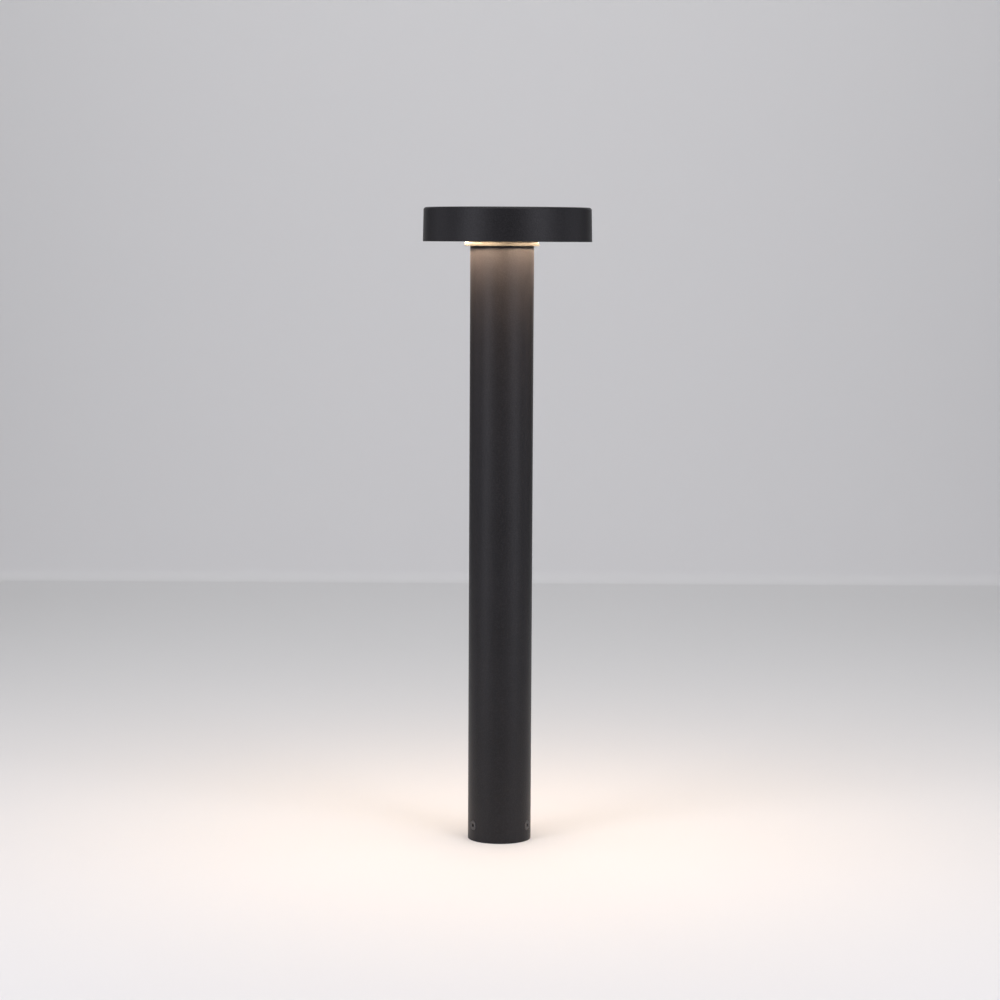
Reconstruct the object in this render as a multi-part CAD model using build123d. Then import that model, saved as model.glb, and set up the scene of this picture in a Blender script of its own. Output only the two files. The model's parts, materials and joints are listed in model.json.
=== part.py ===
"""Round bollard light: a flat round head on a slim tube, lighting the ground from its underside.

The origin is on the tube's axis at ground level and +Z is up. Lengths are in millimetres.
"""
from build123d import *
import math
import os

# Overall sizes
TOTAL_HEIGHT = 600.0
TUBE_DIAMETER = 60.0
TUBE_WALL = 3.0
TUBE_EDGE = 0.5

# Head casting
HEAD_DIAMETER = 159.0
HEAD_HEIGHT = 32.0
HEAD_OFFSET = 5.0           # the head's axis stands this far from the tube's, towards +X
HEAD_DRAFT = 1.1            # degrees
HEAD_EDGE_RADIUS = 2.5
RIM_EDGE_RADIUS = 0.4
HEAD_WALL = 2.5
HEAD_TOP = 3.0
POCKET_WIDTH = 6.5          # hollow between the outer skin and the gasket land
LAND_WIDTH = 6.0
PEDESTAL_HEIGHT = 3.0
HUB_BOSS_RADIUS = 4.5

# Optics, from the rim upwards
RING_RECESS = 3.0
RING_THICKNESS = 3.0
RING_LIP = 1.5
RING_SCREW_COUNT = 6
RING_SCREW_INSET = 4.0
RING_BOSS_RADIUS = 4.2
RING_SCREW_LENGTH = 10.0
RING_EDGE = 0.5
DIFFUSER_THICKNESS = 3.0
GASKET_THICKNESS = 1.0
GASKET_INSET = 0.4           # from the edge of the land that a gasket lies on
REFLECTOR_WALL = 1.2
REFLECTOR_TOP_INSET = 1.5

# Light engine
PAD_THICKNESS = 0.5
BOARD_THICKNESS = 1.6
BOARD_CLEARANCE = 1.0
BOARD_EDGE_INSET = 3.0
BOARD_SCREW_COUNT = 4
BOARD_SCREW_ANGLE = 45.0    # degrees from +X to the first board screw
BOARD_SCREW_INSET = 4.0
BOARD_SCREW_LENGTH = 6.0
PAD_INSET = 0.3
CHIP_COUNT = 24             # a multiple of BOARD_SCREW_COUNT, so that no chip meets a screw
CHIP_SIZE = 3.0
CHIP_HEIGHT = 0.8
CONNECTOR_LENGTH = 8.0
CONNECTOR_DEPTH = 5.0
CONNECTOR_HEIGHT = 5.0
CONNECTOR_INSET = 1.2
LEAD_INSERT = 1.0
HUB_NOTCH_WIDTH = 10.0
HUB_NOTCH_DROP = 3.5         # below the middle of the lead

# Collar and neck
COLLAR_OVERHANG = 5.0
COLLAR_SHOW = 4.0           # height of the collar below the head's rim
COLLAR_ROUND = 2.0
COLLAR_STEP = 2.5
COLLAR_EDGE = 0.3
NECK_PLATE = 5.0
NECK_SPIGOT = 2.0           # how far the neck enters the hub
NECK_WALL = 3.5
NECK_INSERT = 30.0          # how far the neck reaches down into the tube
NECK_SCREW_INSET = 9.0
NECK_SCREW_LENGTH = 14.0
COLUMN_BOSS_RADIUS = 5.6
COLUMN_BOSS_HEIGHT = 18.0
COLUMN_BOSS_MERGE = 0.5     # how far a boss reaches into the neck's wall
COLUMN_SCREW_LENGTH = 20.0
COLUMN_GAP = 4.0            # left between the neck and the tube's end plate for drawing down
END_PLATE_THICKNESS = 4.0
END_PLATE_FIT = 0.05
LEAD_HOLE_Y = 10.0
GROMMET_RADIUS = 4.0
GROMMET_FLANGE = 1.5
GROMMET_LIP = 1.0

# Base
FOOT_GASKET_THICKNESS = 1.5
BASE_FLOOR = 6.5
BASE_WALL = 3.0
BASE_HEIGHT = 48.0
ANCHOR_CIRCLE = 18.0
ANCHOR_HOLE = 6.5
FOOT_SCREW_HEIGHT = 15.0
FOOT_SCREW_ANGLE = 93.0     # degrees from +X to the first of the three foot screws
FOOT_SCREW_SINK = 0.4
FOOT_SCREW_LENGTH = 12.0
FOOT_BOSS_RADIUS = 5.5
FOOT_BOSS_DEPTH = 10.0
LUG_WIDTH = 16.0
LUG_TOP = 68.0
BLIND_END = 3.0             # metal left beyond a blind hole

# Cable gland
GLAND_THREAD = 16.0
GLAND_ACROSS_FLATS = 20.0
GLAND_BORE = 10.0
GLAND_HEX = 4.5
GLAND_NECK = 5.0            # height of the threaded neck above the hexagon
GLAND_SEAL = 9.0
GLAND_DOME = 3.0
GLAND_STEP = 1.0
CABLE_DIAMETER = 8.0

# Control gear
TRAY_Y = 11.5               # the tray's mounting face
TRAY_WIDTH = 40.0
TRAY_THICKNESS = 1.5
TRAY_FLANGE = 5.5
TRAY_LOW = 50.0
TRAY_HIGH = 262.0
TRAY_SCREW_HEIGHTS = (55.0, 63.0)
TRAY_SCREW_LENGTH = 10.0
TERMINAL_LOW = 72.0
TERMINAL_SIZE = (30.0, 18.0, 20.0)
TERMINAL_PITCH = 10.0
TERMINAL_POCKET = 6.0
TERMINAL_POCKET_RADIUS = 2.3
TERMINAL_SCREW_HEIGHT = 4.0
DRIVER_LOW = 140.0
DRIVER_SIZE = (36.0, 22.0, 110.0)
DRIVER_EDGE = 2.0
DRIVER_TAB = 8.0
DRIVER_TAB_WIDTH = 14.0
DRIVER_TAB_THICKNESS = 3.0
DRIVER_SCREW_LENGTH = 8.0
EARTH_X = 13.0
EARTH_HEIGHT = 128.0
EARTH_LUG_THICKNESS = 0.8
EARTH_EYE_RADIUS = 4.0
EARTH_BARREL_RADIUS = 2.2
EARTH_BARREL_LENGTH = 6.0
EARTH_BARREL_DROP = 12.0    # from the eye to the barrel's mouth
EARTH_SCREW_LENGTH = 5.0
WIRE_DIAMETER = 2.5
LEAD_DIAMETER = 3.0
WIRE_INSERT = 5.0

# Clearances
FIT_GAP = 0.2
THREAD_GAP = 0.05
HOLE_GAP = 0.2
HEAD_GAP = 0.1

# Screws: thread diameter, head diameter, head height
M3_PAN = (3.0, 5.6, 2.0)
M3_COUNTERSUNK = (3.0, 5.5, 1.65)
M4_PAN = (4.0, 7.6, 2.6)
M5_COUNTERSUNK = (5.0, 9.3, 2.5)
M5_SOCKET = (5.0, 8.5, 5.0)
M3_TERMINAL = (3.0, 4.6, 2.0)
M4_EARTH = (4.0, 7.0, 2.6)
M5_WASHER = (5.3, 10.0, 1.0)

# Derived radii
TUBE_RADIUS = TUBE_DIAMETER / 2
TUBE_BORE = TUBE_RADIUS - TUBE_WALL
NECK_RADIUS = TUBE_BORE - FIT_GAP
BASE_RADIUS = TUBE_BORE - FIT_GAP
COLLAR_RADIUS = TUBE_RADIUS + COLLAR_OVERHANG
COLLAR_SLEEVE = COLLAR_RADIUS - COLLAR_STEP
HUB_INNER = NECK_RADIUS + FIT_GAP
HUB_OUTER = COLLAR_RADIUS - FIT_GAP
NECK_SCREW_CIRCLE = HUB_INNER - NECK_SCREW_INSET
COLUMN_SCREW_CIRCLE = NECK_RADIUS - NECK_WALL - COLUMN_BOSS_RADIUS + COLUMN_BOSS_MERGE
HEAD_BORE = HEAD_DIAMETER / 2 - HEAD_WALL
LAND_OUTER = HEAD_BORE - POCKET_WIDTH
LAND_INNER = LAND_OUTER - LAND_WIDTH
RING_INNER = LAND_INNER - RING_LIP
RING_OUTER = HEAD_BORE - FIT_GAP
RING_SCREW_CIRCLE = HEAD_BORE - RING_SCREW_INSET
DIFFUSER_OUTER = RING_SCREW_CIRCLE - RING_BOSS_RADIUS - FIT_GAP
DIFFUSER_HOLE = NECK_RADIUS + FIT_GAP
BOARD_INNER = HUB_OUTER + abs(HEAD_OFFSET) + BOARD_CLEARANCE
BOARD_OUTER = LAND_INNER - BOARD_EDGE_INSET
CHIP_CIRCLE = (BOARD_INNER + BOARD_OUTER) / 2
CONNECTOR_Y = BOARD_INNER + CONNECTOR_INSET

# Derived heights
RIM_Z = TOTAL_HEIGHT - HEAD_HEIGHT
RING_Z = RIM_Z + RING_RECESS
DIFFUSER_Z = RING_Z + RING_THICKNESS
GASKET_Z = DIFFUSER_Z + DIFFUSER_THICKNESS
LAND_Z = GASKET_Z + GASKET_THICKNESS
CEILING_Z = TOTAL_HEIGHT - HEAD_TOP
PEDESTAL_Z = CEILING_Z - PEDESTAL_HEIGHT
PAD_Z = PEDESTAL_Z - PAD_THICKNESS
BOARD_Z = PAD_Z - BOARD_THICKNESS
CONNECTOR_Z = BOARD_Z - CONNECTOR_HEIGHT
LEAD_TURN_Z = BOARD_Z - CONNECTOR_HEIGHT / 2
COLLAR_Z = RIM_Z - COLLAR_SHOW
NECK_TOP_Z = LAND_Z + NECK_SPIGOT
NECK_PLATE_Z = NECK_TOP_Z - NECK_PLATE
NECK_Z = COLLAR_Z - NECK_INSERT
GROMMET_TOP_Z = NECK_TOP_Z + GROMMET_LIP
END_PLATE_TOP_Z = NECK_Z - COLUMN_GAP
END_PLATE_Z = END_PLATE_TOP_Z - END_PLATE_THICKNESS
FLOOR_TOP_Z = FOOT_GASKET_THICKNESS + BASE_FLOOR
GLAND_HEX_TOP = FLOOR_TOP_Z + GLAND_HEX
GLAND_NECK_TOP = GLAND_HEX_TOP + GLAND_NECK
GLAND_SEAL_TOP = GLAND_HEX_TOP + GLAND_SEAL
GLAND_NUT_TOP = GLAND_SEAL_TOP + GLAND_DOME
DRIVER_TOP_Z = DRIVER_LOW + DRIVER_SIZE[2]
TERMINAL_TOP_Z = TERMINAL_LOW + TERMINAL_SIZE[2]

UP = (Align.CENTER, Align.CENTER, Align.MIN)
FOOT_ANGLES = [FOOT_SCREW_ANGLE + 120 * i for i in range(3)]
ANCHOR_ANGLES = [angle + 60 for angle in FOOT_ANGLES]
NECK_SCREW_ANGLES = (30, 150, 270)
COLUMN_SCREW_ANGLES = (90, 210, 330)


# Routes of the wires and the lead, from the lower end to the upper
TERMINAL_WIRE_Y = TRAY_Y - TERMINAL_SIZE[1] / 2
WIRE_Y = TRAY_Y - DRIVER_SIZE[1] / 2

LIVE_ROUTE = [
    (-TERMINAL_PITCH, TERMINAL_WIRE_Y, TERMINAL_TOP_Z - WIRE_INSERT),
    (-TERMINAL_PITCH, TERMINAL_WIRE_Y, TERMINAL_TOP_Z + 13),
    (-6, WIRE_Y, DRIVER_LOW - 17),
    (-6, WIRE_Y, DRIVER_LOW + WIRE_INSERT),
]
NEUTRAL_ROUTE = [
    (0, TERMINAL_WIRE_Y, TERMINAL_TOP_Z - WIRE_INSERT),
    (0, TERMINAL_WIRE_Y, TERMINAL_TOP_Z + 13),
    (1, WIRE_Y, DRIVER_LOW - 17),
    (1, WIRE_Y, DRIVER_LOW + WIRE_INSERT),
]
EARTH_WIRE_Y = TRAY_Y - EARTH_BARREL_RADIUS
EARTH_BARREL_Z = EARTH_HEIGHT - EARTH_BARREL_DROP
EARTH_ROUTE = [
    (TERMINAL_PITCH, TERMINAL_WIRE_Y, TERMINAL_TOP_Z - WIRE_INSERT),
    (TERMINAL_PITCH, TERMINAL_WIRE_Y, TERMINAL_TOP_Z + 6),
    (EARTH_X, EARTH_WIRE_Y, EARTH_BARREL_Z - 7),
    (EARTH_X, EARTH_WIRE_Y, EARTH_BARREL_Z + 3),
]
LEAD_ROUTE = [
    (0, WIRE_Y, DRIVER_TOP_Z - WIRE_INSERT),
    (0, WIRE_Y, DRIVER_TOP_Z + 50),
    (0, LEAD_HOLE_Y, DRIVER_TOP_Z + 130),
    (0, LEAD_HOLE_Y, LEAD_TURN_Z),
    (HEAD_OFFSET, CONNECTOR_Y + LEAD_INSERT, LEAD_TURN_Z),
]
LEAD_SWAY_RADIUS = 200.0
LEAD_RADII = [LEAD_SWAY_RADIUS, LEAD_SWAY_RADIUS, LEAD_TURN_Z - GROMMET_TOP_Z]


# ---- Shapes that several sub-parts share ---------------------------------------------

def rod(radius, low, high, x=0.0, y=0.0):
    """An upright cylinder between two heights."""
    return Pos(x, y, low) * Cylinder(radius, high - low, align=UP)


def ring(outer, inner, low, high, x=0.0, y=0.0):
    """An upright tube between two heights."""
    return rod(outer, low, high, x, y) - rod(inner, low, high, x, y)


def block(x_range, y_range, z_range):
    """A box between its lowest and highest corners."""
    size = [high - low for low, high in (x_range, y_range, z_range)]
    centre = [(high + low) / 2 for low, high in (x_range, y_range, z_range)]
    return Pos(*centre) * Box(*size)


def on_circle(radius, angle, x=0.0):
    """X and Y of a point on a circle centred on (x, 0)."""
    turn = math.radians(angle)
    return x + radius * math.cos(turn), radius * math.sin(turn)


def even_angles(count, first=0.0):
    return [first + 360 / count * i for i in range(count)]


def head_ring_places():
    return [on_circle(RING_SCREW_CIRCLE, a, HEAD_OFFSET) for a in even_angles(RING_SCREW_COUNT, 30)]


def board_screw_places():
    radius = BOARD_INNER + BOARD_SCREW_INSET
    return [on_circle(radius, a, HEAD_OFFSET) for a in even_angles(BOARD_SCREW_COUNT, BOARD_SCREW_ANGLE)]


def radial(angle, radius, height):
    """A place whose +Z points away from the tube's axis."""
    return Rot(0, 0, angle) * Pos(radius, 0, height) * Rot(0, 90, 0)


def facing_front(x, y, z):
    """A place whose +Z points towards -Y."""
    return Pos(x, y, z) * Rot(90, 0, 0)


def facing_down(x, y, z):
    return Pos(x, y, z) * Rot(180, 0, 0)


def cross_recess(size, depth):
    """A cross recess cut down from z = 0."""
    wing = Pos(0, 0, -depth) * Box(size, size / 4.5, depth, align=UP)
    core = Pos(0, 0, -depth) * Cone(size / 6, size / 3, depth, align=UP)
    return wing + Rot(0, 0, 90) * wing + core


def pan_screw(sizes, length):
    """A pan head screw: its head stands on z = 0 and its shank points down."""
    thread, head, height = sizes
    top = Cylinder(head / 2, height, align=UP)
    top = fillet(top.edges().sort_by(Axis.Z)[-1], height * 0.4)
    shank = Pos(0, 0, -length) * Cylinder(thread / 2, length, align=UP)
    shank = chamfer(shank.edges().sort_by(Axis.Z)[0], thread * 0.12)
    return top + shank - Pos(0, 0, height) * cross_recess(head * 0.55, height * 0.6)


def countersunk_screw(sizes, length):
    """A countersunk screw: the top of its head is at z = 0 and its shank points down."""
    thread, head, height = sizes
    cylinder_height = height - (head - thread) / 2
    cone_height = height - cylinder_height
    disc = Pos(0, 0, -cylinder_height) * Cylinder(head / 2, cylinder_height, align=UP)
    cone = Pos(0, 0, -height) * Cone(thread / 2, head / 2, cone_height, align=UP)
    shank = Pos(0, 0, -length) * Cylinder(thread / 2, length - height, align=UP)
    shank = chamfer(shank.edges().sort_by(Axis.Z)[0], thread * 0.12)
    return disc + cone + shank - cross_recess(head * 0.52, height * 0.75)


def countersink(sizes, through):
    """The hole for a countersunk screw whose head's top is at z = 0, open above it."""
    thread, _, height = sizes
    narrow = thread / 2 + HEAD_GAP
    reach = height + FOOT_SCREW_SINK * 2
    cone = Pos(0, 0, -height) * Cone(narrow, narrow + reach, reach, align=UP)
    hole = Pos(0, 0, -through) * Cylinder(thread / 2 + HOLE_GAP, through, align=UP)
    return cone + hole


def socket_screw(sizes, length):
    """A socket head screw: its head stands on z = 0 and its shank points down."""
    thread, head, height = sizes
    top = Cylinder(head / 2, height, align=UP)
    top = chamfer(top.edges().sort_by(Axis.Z)[-1], 0.4)
    shank = Pos(0, 0, -length) * Cylinder(thread / 2, length, align=UP)
    socket = Pos(0, 0, height / 2) * extrude(RegularPolygon(thread * 0.46, 6), height / 2)
    return top + shank - socket


def wire(points, diameter, name):
    """A round wire along straight runs joined by tangent arcs."""
    corners = [Vector(*point) for point in points]
    radii = []
    for before, here, after in zip(corners, corners[1:], corners[2:]):
        turn = (here - before).get_angle(after - here)
        shorter = min((here - before).length, (after - here).length)
        radii.append(0.45 * shorter / math.tan(math.radians(turn / 2)))
    path = FilletPolyline(*corners, radius=radii)
    print(name, "length", round(path.length, 1), "radii", [round(radius, 1) for radius in radii])
    section = Plane(origin=path @ 0, z_dir=path % 0) * Circle(diameter / 2)
    return sweep(section, path)


# ---- Head ----------------------------------------------------------------------------

def head_cover():
    rim_radius = HEAD_DIAMETER / 2
    top_radius = rim_radius - HEAD_HEIGHT * math.tan(math.radians(HEAD_DRAFT))
    shell = Pos(HEAD_OFFSET, 0, RIM_Z) * Cone(rim_radius, top_radius, HEAD_HEIGHT, align=UP)
    shell = fillet(shell.edges().sort_by(Axis.Z)[-1], HEAD_EDGE_RADIUS)
    shell = fillet(shell.edges().sort_by(Axis.Z)[0], RIM_EDGE_RADIUS)
    shell -= rod(HEAD_BORE, RIM_Z, LAND_Z, HEAD_OFFSET)
    shell -= rod(LAND_INNER, LAND_Z, CEILING_Z, HEAD_OFFSET)
    shell -= ring(HEAD_BORE, LAND_OUTER, LAND_Z, PEDESTAL_Z, HEAD_OFFSET)
    for x, y in head_ring_places():
        shell += rod(RING_BOSS_RADIUS, DIFFUSER_Z, PEDESTAL_Z + HEAD_TOP / 2, x, y)
    shell += ring(BOARD_OUTER, BOARD_INNER, PEDESTAL_Z, CEILING_Z, HEAD_OFFSET)
    shell += ring(HUB_OUTER, HUB_INNER, LAND_Z, CEILING_Z)
    for angle in NECK_SCREW_ANGLES:
        shell += rod(HUB_BOSS_RADIUS, NECK_TOP_Z, CEILING_Z, *on_circle(NECK_SCREW_CIRCLE, angle))
    return shell - head_holes()


def head_holes():
    """Tapped holes in the head casting, and the notch that lets the lead into the hub."""
    cuts = []
    for x, y in head_ring_places():
        cuts.append(rod(M3_COUNTERSUNK[0] / 2 + THREAD_GAP, DIFFUSER_Z, RING_Z + RING_SCREW_LENGTH + 1, x, y))
    for x, y in board_screw_places():
        cuts.append(rod(M3_PAN[0] / 2 + THREAD_GAP, PEDESTAL_Z, BOARD_Z + BOARD_SCREW_LENGTH + 0.5, x, y))
    for angle in NECK_SCREW_ANGLES:
        place = on_circle(NECK_SCREW_CIRCLE, angle)
        cuts.append(rod(M4_PAN[0] / 2 + THREAD_GAP, NECK_TOP_Z, CEILING_Z - BLIND_END / 2, *place))
    notch_centre = HEAD_OFFSET / 2
    notch_x = (notch_centre - HUB_NOTCH_WIDTH / 2, notch_centre + HUB_NOTCH_WIDTH / 2)
    notch_y = (HUB_INNER - HUB_NOTCH_WIDTH / 4, HUB_OUTER + BOARD_CLEARANCE)
    cuts.append(block(notch_x, notch_y, (LEAD_TURN_Z - HUB_NOTCH_DROP, CEILING_Z)))
    return Part() + cuts


def retaining_ring():
    body = ring(RING_OUTER, RING_INNER, RING_Z, DIFFUSER_Z, HEAD_OFFSET)
    body = chamfer(body.edges().group_by(Axis.Z)[0], RING_EDGE)
    for x, y in head_ring_places():
        body -= facing_down(x, y, RING_Z) * countersink(M3_COUNTERSUNK, RING_THICKNESS)
    return body


def retaining_screws():
    screw = countersunk_screw(M3_COUNTERSUNK, RING_SCREW_LENGTH)
    return Compound([facing_down(x, y, RING_Z) * screw for x, y in head_ring_places()])


def diffuser():
    plate = rod(DIFFUSER_OUTER, DIFFUSER_Z, GASKET_Z, HEAD_OFFSET)
    return plate - rod(DIFFUSER_HOLE, DIFFUSER_Z, GASKET_Z)


def diffuser_outer_gasket():
    return ring(DIFFUSER_OUTER, LAND_INNER + GASKET_INSET, GASKET_Z, LAND_Z, HEAD_OFFSET)


def diffuser_inner_gasket():
    return ring(COLLAR_SLEEVE, HUB_INNER + GASKET_INSET, GASKET_Z, LAND_Z)


def reflector():
    height = BOARD_Z - GASKET_Z
    wide = LAND_INNER - FIT_GAP
    narrow = BOARD_OUTER - REFLECTOR_TOP_INSET
    outside = Cone(wide, narrow, height, align=UP)
    inside = Cone(wide - REFLECTOR_WALL, narrow - REFLECTOR_WALL, height, align=UP)
    return Pos(HEAD_OFFSET, 0, GASKET_Z) * (outside - inside)


def thermal_pad():
    body = ring(BOARD_OUTER - PAD_INSET, BOARD_INNER + PAD_INSET, PAD_Z, PEDESTAL_Z, HEAD_OFFSET)
    for x, y in board_screw_places():
        body -= rod(M3_PAN[0] / 2 + HOLE_GAP, PAD_Z, PEDESTAL_Z, x, y)
    return body


def led_board():
    body = ring(BOARD_OUTER, BOARD_INNER, BOARD_Z, PAD_Z, HEAD_OFFSET)
    for x, y in board_screw_places():
        body -= rod(M3_PAN[0] / 2 + HOLE_GAP, BOARD_Z, PAD_Z, x, y)
    return body


def led_chips():
    chip = Box(CHIP_SIZE, CHIP_SIZE, CHIP_HEIGHT, align=UP)
    low = BOARD_Z - CHIP_HEIGHT
    place = Pos(HEAD_OFFSET, 0, low)
    angles = even_angles(CHIP_COUNT, BOARD_SCREW_ANGLE + 180 / CHIP_COUNT)
    return Compound([place * Rot(0, 0, a) * Pos(CHIP_CIRCLE, 0, 0) * chip for a in angles])


def board_connector():
    x_range = (HEAD_OFFSET - CONNECTOR_LENGTH / 2, HEAD_OFFSET + CONNECTOR_LENGTH / 2)
    y_range = (CONNECTOR_Y, CONNECTOR_Y + CONNECTOR_DEPTH)
    body = block(x_range, y_range, (CONNECTOR_Z, BOARD_Z))
    body = chamfer(body.faces().sort_by(Axis.Z)[0].edges(), 0.4)
    socket = LEAD_DIAMETER / 2 + 2 * FIT_GAP
    return body - front_hole(socket, HEAD_OFFSET, LEAD_TURN_Z, 2 * LEAD_INSERT, CONNECTOR_Y)


def board_screws():
    screw = pan_screw(M3_PAN, BOARD_SCREW_LENGTH)
    return Compound([facing_down(x, y, BOARD_Z) * screw for x, y in board_screw_places()])


# ---- Collar, neck and tube -----------------------------------------------------------

def collar():
    flange = rod(COLLAR_RADIUS, COLLAR_Z, RIM_Z)
    flange = fillet(flange.edges().sort_by(Axis.Z)[-1], COLLAR_ROUND)
    flange = fillet(flange.edges().sort_by(Axis.Z)[0], COLLAR_EDGE)
    return flange + rod(COLLAR_SLEEVE, RIM_Z, DIFFUSER_Z) - rod(NECK_RADIUS + FIT_GAP, COLLAR_Z, DIFFUSER_Z)


def neck():
    body = ring(NECK_RADIUS, NECK_RADIUS - NECK_WALL, NECK_Z, NECK_PLATE_Z)
    body += rod(NECK_RADIUS, NECK_PLATE_Z, NECK_TOP_Z)
    for angle in COLUMN_SCREW_ANGLES:
        boss = rod(COLUMN_BOSS_RADIUS, NECK_Z, NECK_Z + COLUMN_BOSS_HEIGHT, *column_place(angle))
        body += boss & rod(NECK_RADIUS, NECK_Z, NECK_TOP_Z)
    thread_top = NECK_Z + COLUMN_BOSS_HEIGHT - BLIND_END
    for angle in COLUMN_SCREW_ANGLES:
        body -= rod(M5_SOCKET[0] / 2 + THREAD_GAP, NECK_Z, thread_top, *column_place(angle))
    for angle in NECK_SCREW_ANGLES:
        body -= rod(M4_PAN[0] / 2 + HOLE_GAP, NECK_PLATE_Z, NECK_TOP_Z, *on_circle(NECK_SCREW_CIRCLE, angle))
    return body - rod(GROMMET_RADIUS + FIT_GAP, NECK_PLATE_Z, NECK_TOP_Z, 0, LEAD_HOLE_Y)


def column_place(angle):
    return on_circle(COLUMN_SCREW_CIRCLE, angle)


def neck_screws():
    screw = pan_screw(M4_PAN, NECK_SCREW_LENGTH)
    places = [on_circle(NECK_SCREW_CIRCLE, angle) for angle in NECK_SCREW_ANGLES]
    return Compound([facing_down(x, y, NECK_PLATE_Z) * screw for x, y in places])


def lead_grommet():
    low = NECK_PLATE_Z - GROMMET_LIP
    body = rod(GROMMET_RADIUS, low, GROMMET_TOP_Z, 0, LEAD_HOLE_Y)
    for lip in (low, NECK_TOP_Z):
        body += rod(GROMMET_RADIUS + GROMMET_FLANGE, lip, lip + GROMMET_LIP, 0, LEAD_HOLE_Y)
    return body - rod(LEAD_DIAMETER / 2 + FIT_GAP, low, GROMMET_TOP_Z, 0, LEAD_HOLE_Y)


def tube():
    body = ring(TUBE_RADIUS, TUBE_BORE, 0, COLLAR_Z)
    ends = body.edges().group_by(Axis.Z)[0] + body.edges().group_by(Axis.Z)[-1]
    body = chamfer(ends, TUBE_EDGE)
    for angle in FOOT_ANGLES:
        place = radial(angle, TUBE_RADIUS - FOOT_SCREW_SINK, FOOT_SCREW_HEIGHT)
        body -= place * countersink(M5_COUNTERSUNK, TUBE_WALL + 1)
    return body


def tube_end_plate():
    body = rod(TUBE_BORE - END_PLATE_FIT, END_PLATE_Z, END_PLATE_TOP_Z)
    for angle in COLUMN_SCREW_ANGLES:
        body -= rod(M5_SOCKET[0] / 2 + HOLE_GAP, END_PLATE_Z, END_PLATE_TOP_Z, *column_place(angle))
    return body - rod(LEAD_DIAMETER, END_PLATE_Z, END_PLATE_TOP_Z, 0, LEAD_HOLE_Y)


def column_screws():
    screw = socket_screw(M5_SOCKET, COLUMN_SCREW_LENGTH)
    places = [column_place(angle) for angle in COLUMN_SCREW_ANGLES]
    return Compound([facing_down(x, y, END_PLATE_Z - M5_WASHER[2]) * screw for x, y in places])


def column_washers():
    hole, outer, height = M5_WASHER
    places = [column_place(angle) for angle in COLUMN_SCREW_ANGLES]
    return Compound([ring(outer / 2, hole / 2, END_PLATE_Z - height, END_PLATE_Z, x, y) for x, y in places])


# ---- Base ----------------------------------------------------------------------------

def base():
    outline = rod(BASE_RADIUS, FOOT_GASKET_THICKNESS, LUG_TOP)
    body = rod(BASE_RADIUS, FOOT_GASKET_THICKNESS, BASE_HEIGHT)
    body -= rod(BASE_RADIUS - BASE_WALL, FLOOR_TOP_Z, BASE_HEIGHT)
    for angle in FOOT_ANGLES:
        boss = radial(angle, BASE_RADIUS - FOOT_BOSS_DEPTH, FOOT_SCREW_HEIGHT)
        body += boss * Cylinder(FOOT_BOSS_RADIUS, FOOT_BOSS_DEPTH, align=UP) & outline
    tray_back = TRAY_Y + TRAY_THICKNESS
    body += block((-LUG_WIDTH / 2, LUG_WIDTH / 2), (tray_back, BASE_RADIUS), (FLOOR_TOP_Z, LUG_TOP)) & outline
    for angle in FOOT_ANGLES:
        thread = Cylinder(M5_COUNTERSUNK[0] / 2 + THREAD_GAP, FOOT_BOSS_DEPTH + FIT_GAP, align=UP)
        body -= radial(angle, BASE_RADIUS - FOOT_BOSS_DEPTH, FOOT_SCREW_HEIGHT) * thread
    for angle in ANCHOR_ANGLES:
        body -= rod(ANCHOR_HOLE / 2, FOOT_GASKET_THICKNESS, FLOOR_TOP_Z, *on_circle(ANCHOR_CIRCLE, angle))
    for height in TRAY_SCREW_HEIGHTS:
        body -= front_hole(M4_PAN[0] / 2 + THREAD_GAP, 0, height, TRAY_SCREW_LENGTH, tray_back)
    return body - rod(GLAND_THREAD / 2, FOOT_GASKET_THICKNESS, FLOOR_TOP_Z)


def foot_gasket():
    body = ring(BASE_RADIUS - FIT_GAP, GLAND_THREAD / 2, 0, FOOT_GASKET_THICKNESS)
    for angle in ANCHOR_ANGLES:
        body -= rod(ANCHOR_HOLE / 2, 0, FOOT_GASKET_THICKNESS, *on_circle(ANCHOR_CIRCLE, angle))
    return body


def foot_screws():
    screw = Rot(0, 0, 45) * countersunk_screw(M5_COUNTERSUNK, FOOT_SCREW_LENGTH)
    radius = TUBE_RADIUS - FOOT_SCREW_SINK
    return Compound([radial(angle, radius, FOOT_SCREW_HEIGHT) * screw for angle in FOOT_ANGLES])


def hexagon(across_flats, low, high):
    return Pos(0, 0, low) * extrude(RegularPolygon(across_flats / 2, 6, major_radius=False), high - low)


def gland_body():
    body = rod(GLAND_THREAD / 2 - THREAD_GAP, FOOT_GASKET_THICKNESS + FIT_GAP, FLOOR_TOP_Z)
    body += hexagon(GLAND_ACROSS_FLATS, FLOOR_TOP_Z, GLAND_HEX_TOP)
    body += rod(GLAND_THREAD / 2 - GLAND_STEP, GLAND_HEX_TOP, GLAND_NECK_TOP)
    body -= rod(GLAND_BORE / 2, FOOT_GASKET_THICKNESS, GLAND_NECK_TOP)
    return body - rod(GLAND_BORE / 2 + GLAND_STEP, GLAND_HEX_TOP, GLAND_NECK_TOP)


def gland_seal():
    return ring(GLAND_BORE / 2 + GLAND_STEP - THREAD_GAP, CABLE_DIAMETER / 2, GLAND_HEX_TOP, GLAND_SEAL_TOP)


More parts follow.
